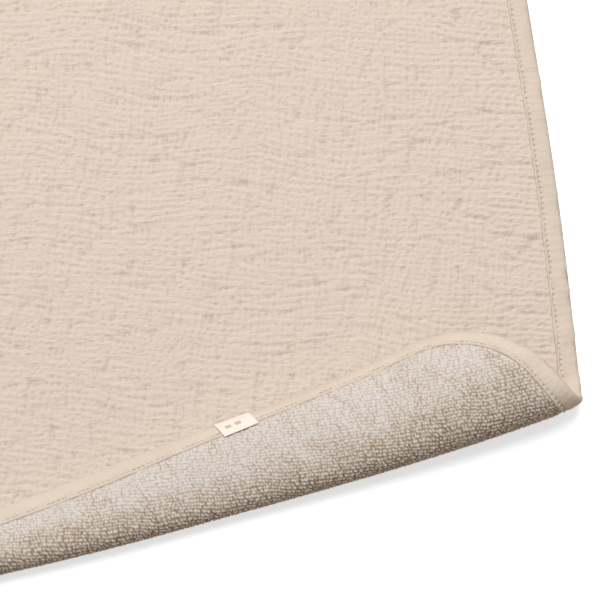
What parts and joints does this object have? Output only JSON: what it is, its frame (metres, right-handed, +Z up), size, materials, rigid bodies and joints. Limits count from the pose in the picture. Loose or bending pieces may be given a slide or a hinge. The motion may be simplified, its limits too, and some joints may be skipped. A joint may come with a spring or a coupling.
{
  "type": "hooded baby towel",
  "caption": "Square towel with a crinkled muslin face, terry back and bound edge, a hood sewn over one corner and the opposite hem turned up.",
  "frame": {"origin": "on the ground, under the centre of the towel when it is laid flat", "axes": "+X along the hem towards the turned-up corner, +Y from the hem to the hooded side, +Z up out of the muslin face"},
  "size_m": [0.8173, 0.8173, 0.0288],
  "materials": {
    "muslin": "crinkled double gauze, matte",
    "terry": "looped terry, matte",
    "binding": "smooth plain-weave bias binding, matte",
    "thread": "cotton topstitching thread",
    "label": "woven satin tape",
    "tape": "folded cotton tape"
  },
  "bodies": {
    "towel_body": {"muslin_face": "muslin", "terry_back": "terry", "binding_left": "binding", "needle_thread_left": "thread", "bobbin_thread_left": "thread", "binding_right": "binding", "needle_thread_right": "thread", "bobbin_thread_right": "thread"},
    "hem_roll": {"muslin_hem_roll": "muslin", "terry_hem_roll": "terry", "binding_hem_roll": "binding", "needle_thread_hem_roll": "thread", "bobbin_thread_hem_roll": "thread"},
    "hem_flap": {"muslin_hem_flap": "muslin", "terry_hem_flap": "terry", "binding_hem_flap": "binding", "needle_thread_hem_flap": "thread", "bobbin_thread_hem_flap": "thread"},
    "label": {"woven_label": "label"},
    "care_tab": {"care_label": "label"},
    "hooded_corner": {"muslin_hooded_corner": "muslin", "terry_hooded_corner": "terry", "binding_hooded_corner": "binding", "needle_thread_hooded_corner": "thread", "bobbin_thread_hooded_corner": "thread"},
    "hood": {"muslin_hood": "muslin", "terry_hood": "terry", "binding_hood_front": "binding", "needle_thread_hood_front": "thread", "bobbin_thread_hood_front": "thread"},
    "loop": {"hanging_loop": "tape"}
  },
  "joints": [
    {"name": "hem_roll_turn", "type": "hinge", "parent": "towel_body", "child": "hem_roll", "pos_m": [-0.005, -0.374, 0.0028], "axis": [0.9877, 0.1561, 0], "range_deg": [0, 97.5]},
    {"name": "hem_flap_turn", "type": "hinge", "parent": "hem_roll", "child": "hem_flap", "pos_m": [-0.00692, -0.37287, 0.01357], "axis": [0.9865, 0.1604, 0.0336], "range_deg": [0, 97.5]},
    {"name": "label_flip", "type": "hinge", "parent": "hem_flap", "child": "label", "pos_m": [0.2234, -0.30175, 0.01621], "axis": [0.9611, 0.2761, 0.0016], "range_deg": [0, 165]},
    {"name": "care_label_swing", "type": "hinge", "parent": "towel_body", "child": "care_tab", "pos_m": [-0.3884, 0.05, 0.00455], "axis": [0, -1, 0], "range_deg": [0, 120]},
    {"name": "hood_raise", "type": "hinge", "parent": "towel_body", "child": "hooded_corner", "pos_m": [-0.25369, 0.25369, 0.0028], "axis": [0.7071, 0.7071, 0], "range_deg": [0, 100]},
    {"name": "hood_open", "type": "hinge", "parent": "hooded_corner", "child": "hood", "pos_m": [-0.37687, 0.37687, 0.0043], "axis": [-0.7071, -0.7071, 0], "range_deg": [0, 25]},
    {"name": "loop_swing", "type": "hinge", "parent": "hooded_corner", "child": "loop", "pos_m": [-0.38613, 0.38613, 0.0028], "axis": [0.7071, 0.7071, 0], "range_deg": [0, 90]}
  ],
  "couplings": [
    {"joint": "hem_flap_turn", "follows": "hem_roll_turn", "ratio": 1}
  ]
}
